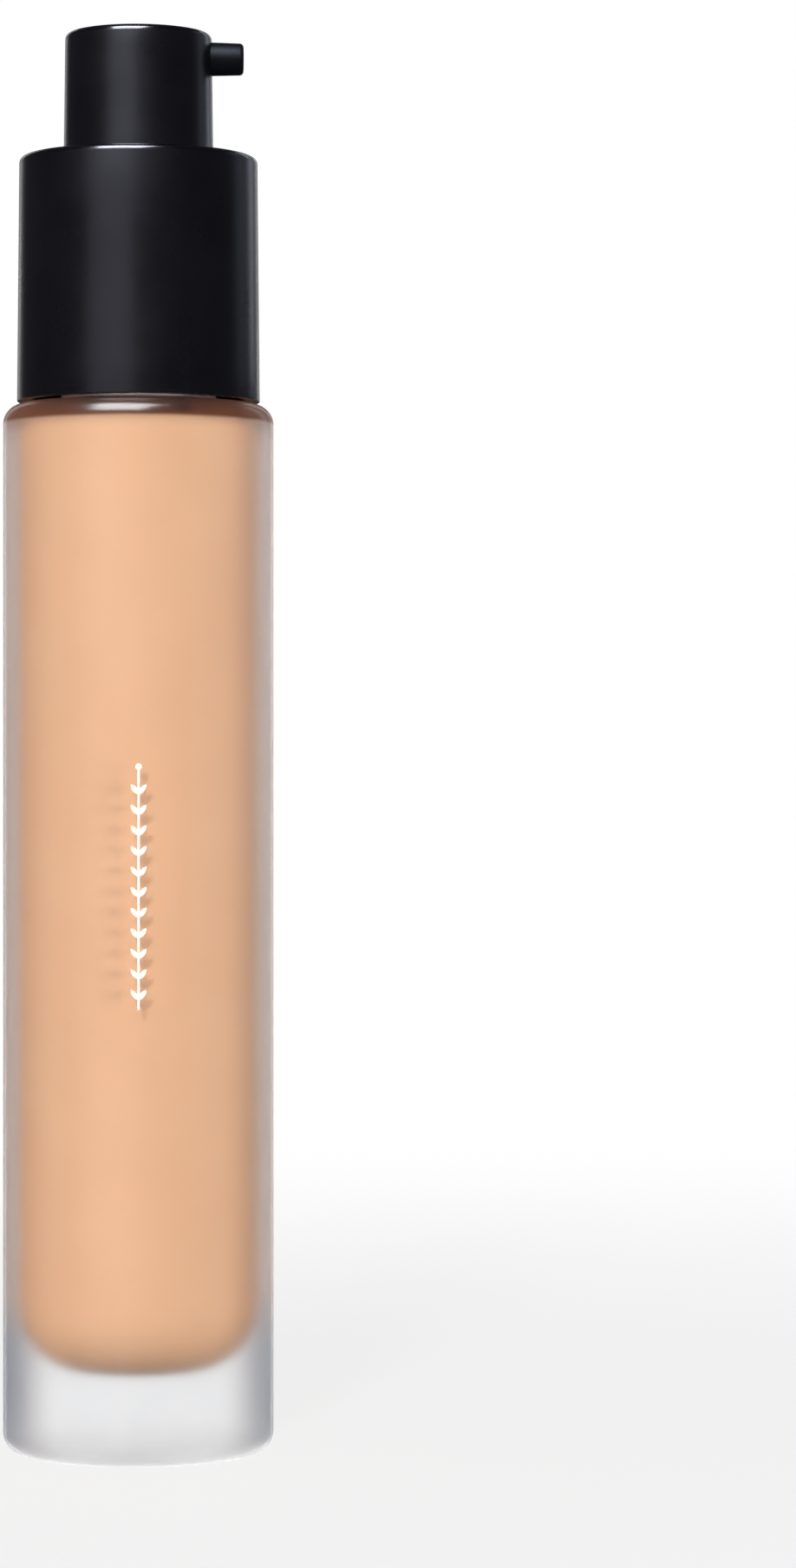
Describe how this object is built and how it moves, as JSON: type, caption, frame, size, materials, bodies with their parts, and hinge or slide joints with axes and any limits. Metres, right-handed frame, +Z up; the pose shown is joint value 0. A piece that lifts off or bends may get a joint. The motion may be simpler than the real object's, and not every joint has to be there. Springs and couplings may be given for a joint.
{
  "type": "foundation bottle",
  "caption": "Slim round frosted bottle of liquid foundation with a heavy base, a black collar and a lotion pump with a short round nozzle.",
  "frame": {"origin": "centre of the base, on the surface that the bottle stands on", "axes": "+Z up along the bottle's axis, +X the way the nozzle points, -Y the printed front"},
  "size_m": [0.027, 0.027, 0.1417],
  "materials": {
    "glass": "frosted",
    "foundation": "opaque cream liquid",
    "ink": "screen-printed cream ink",
    "gasket": "foam",
    "white_plastic": "natural polypropylene",
    "tube_plastic": "natural polyethylene",
    "steel": "drawn stainless",
    "black_plastic": "satin black"
  },
  "bodies": {
    "bottle": {"glass_bottle": "glass", "foundation_fill": "foundation", "printed_mark": "ink"},
    "pump_unit": {"neck_gasket": "gasket", "pump_housing": "white_plastic", "dip_tube": "tube_plastic", "return_spring": "steel", "stem_retainer": "white_plastic"},
    "closure": {"screw_closure": "black_plastic", "collar_shroud": "black_plastic"},
    "plunger": {"stem": "white_plastic", "piston_seat": "white_plastic"},
    "piston": {"piston": "white_plastic"},
    "inlet_ball": {"inlet_ball": "steel"},
    "actuator": {"actuator_core": "black_plastic", "actuator_shell": "black_plastic", "nozzle_insert": "black_plastic"}
  },
  "joints": [
    {"name": "pump_lift", "type": "slide", "parent": "bottle", "child": "pump_unit", "axis": [0, 0, 1], "range_m": [0, 0.0048]},
    {"name": "closure_turn", "type": "hinge", "parent": "pump_unit", "child": "closure", "pos_m": [0, 0, 0.1215], "axis": [0, 0, 1], "range_deg": [0, 540]},
    {"name": "press", "type": "slide", "parent": "pump_unit", "child": "plunger", "axis": [0, 0, -1], "range_m": [0, 0.004], "stiffness_N_per_m": 400, "springref_m": -0.008, "deforming": ["return_spring"]},
    {"name": "piston_slide", "type": "slide", "parent": "pump_unit", "child": "piston", "axis": [0, 0, -1], "range_m": [0, 0.00341]},
    {"name": "ball_lift", "type": "slide", "parent": "pump_unit", "child": "inlet_ball", "axis": [0, 0, 1], "range_m": [0, 0.0009]},
    {"name": "actuator_turn", "type": "hinge", "parent": "plunger", "child": "actuator", "pos_m": [0, 0, 0.131], "axis": [0, 0, 1], "continuous": true}
  ],
  "couplings": [
    {"joint": "pump_lift", "follows": "closure_turn", "m_per_rad": 0.00050532},
    {"joint": "piston_slide", "follows": "press", "ratio": 0.85}
  ]
}
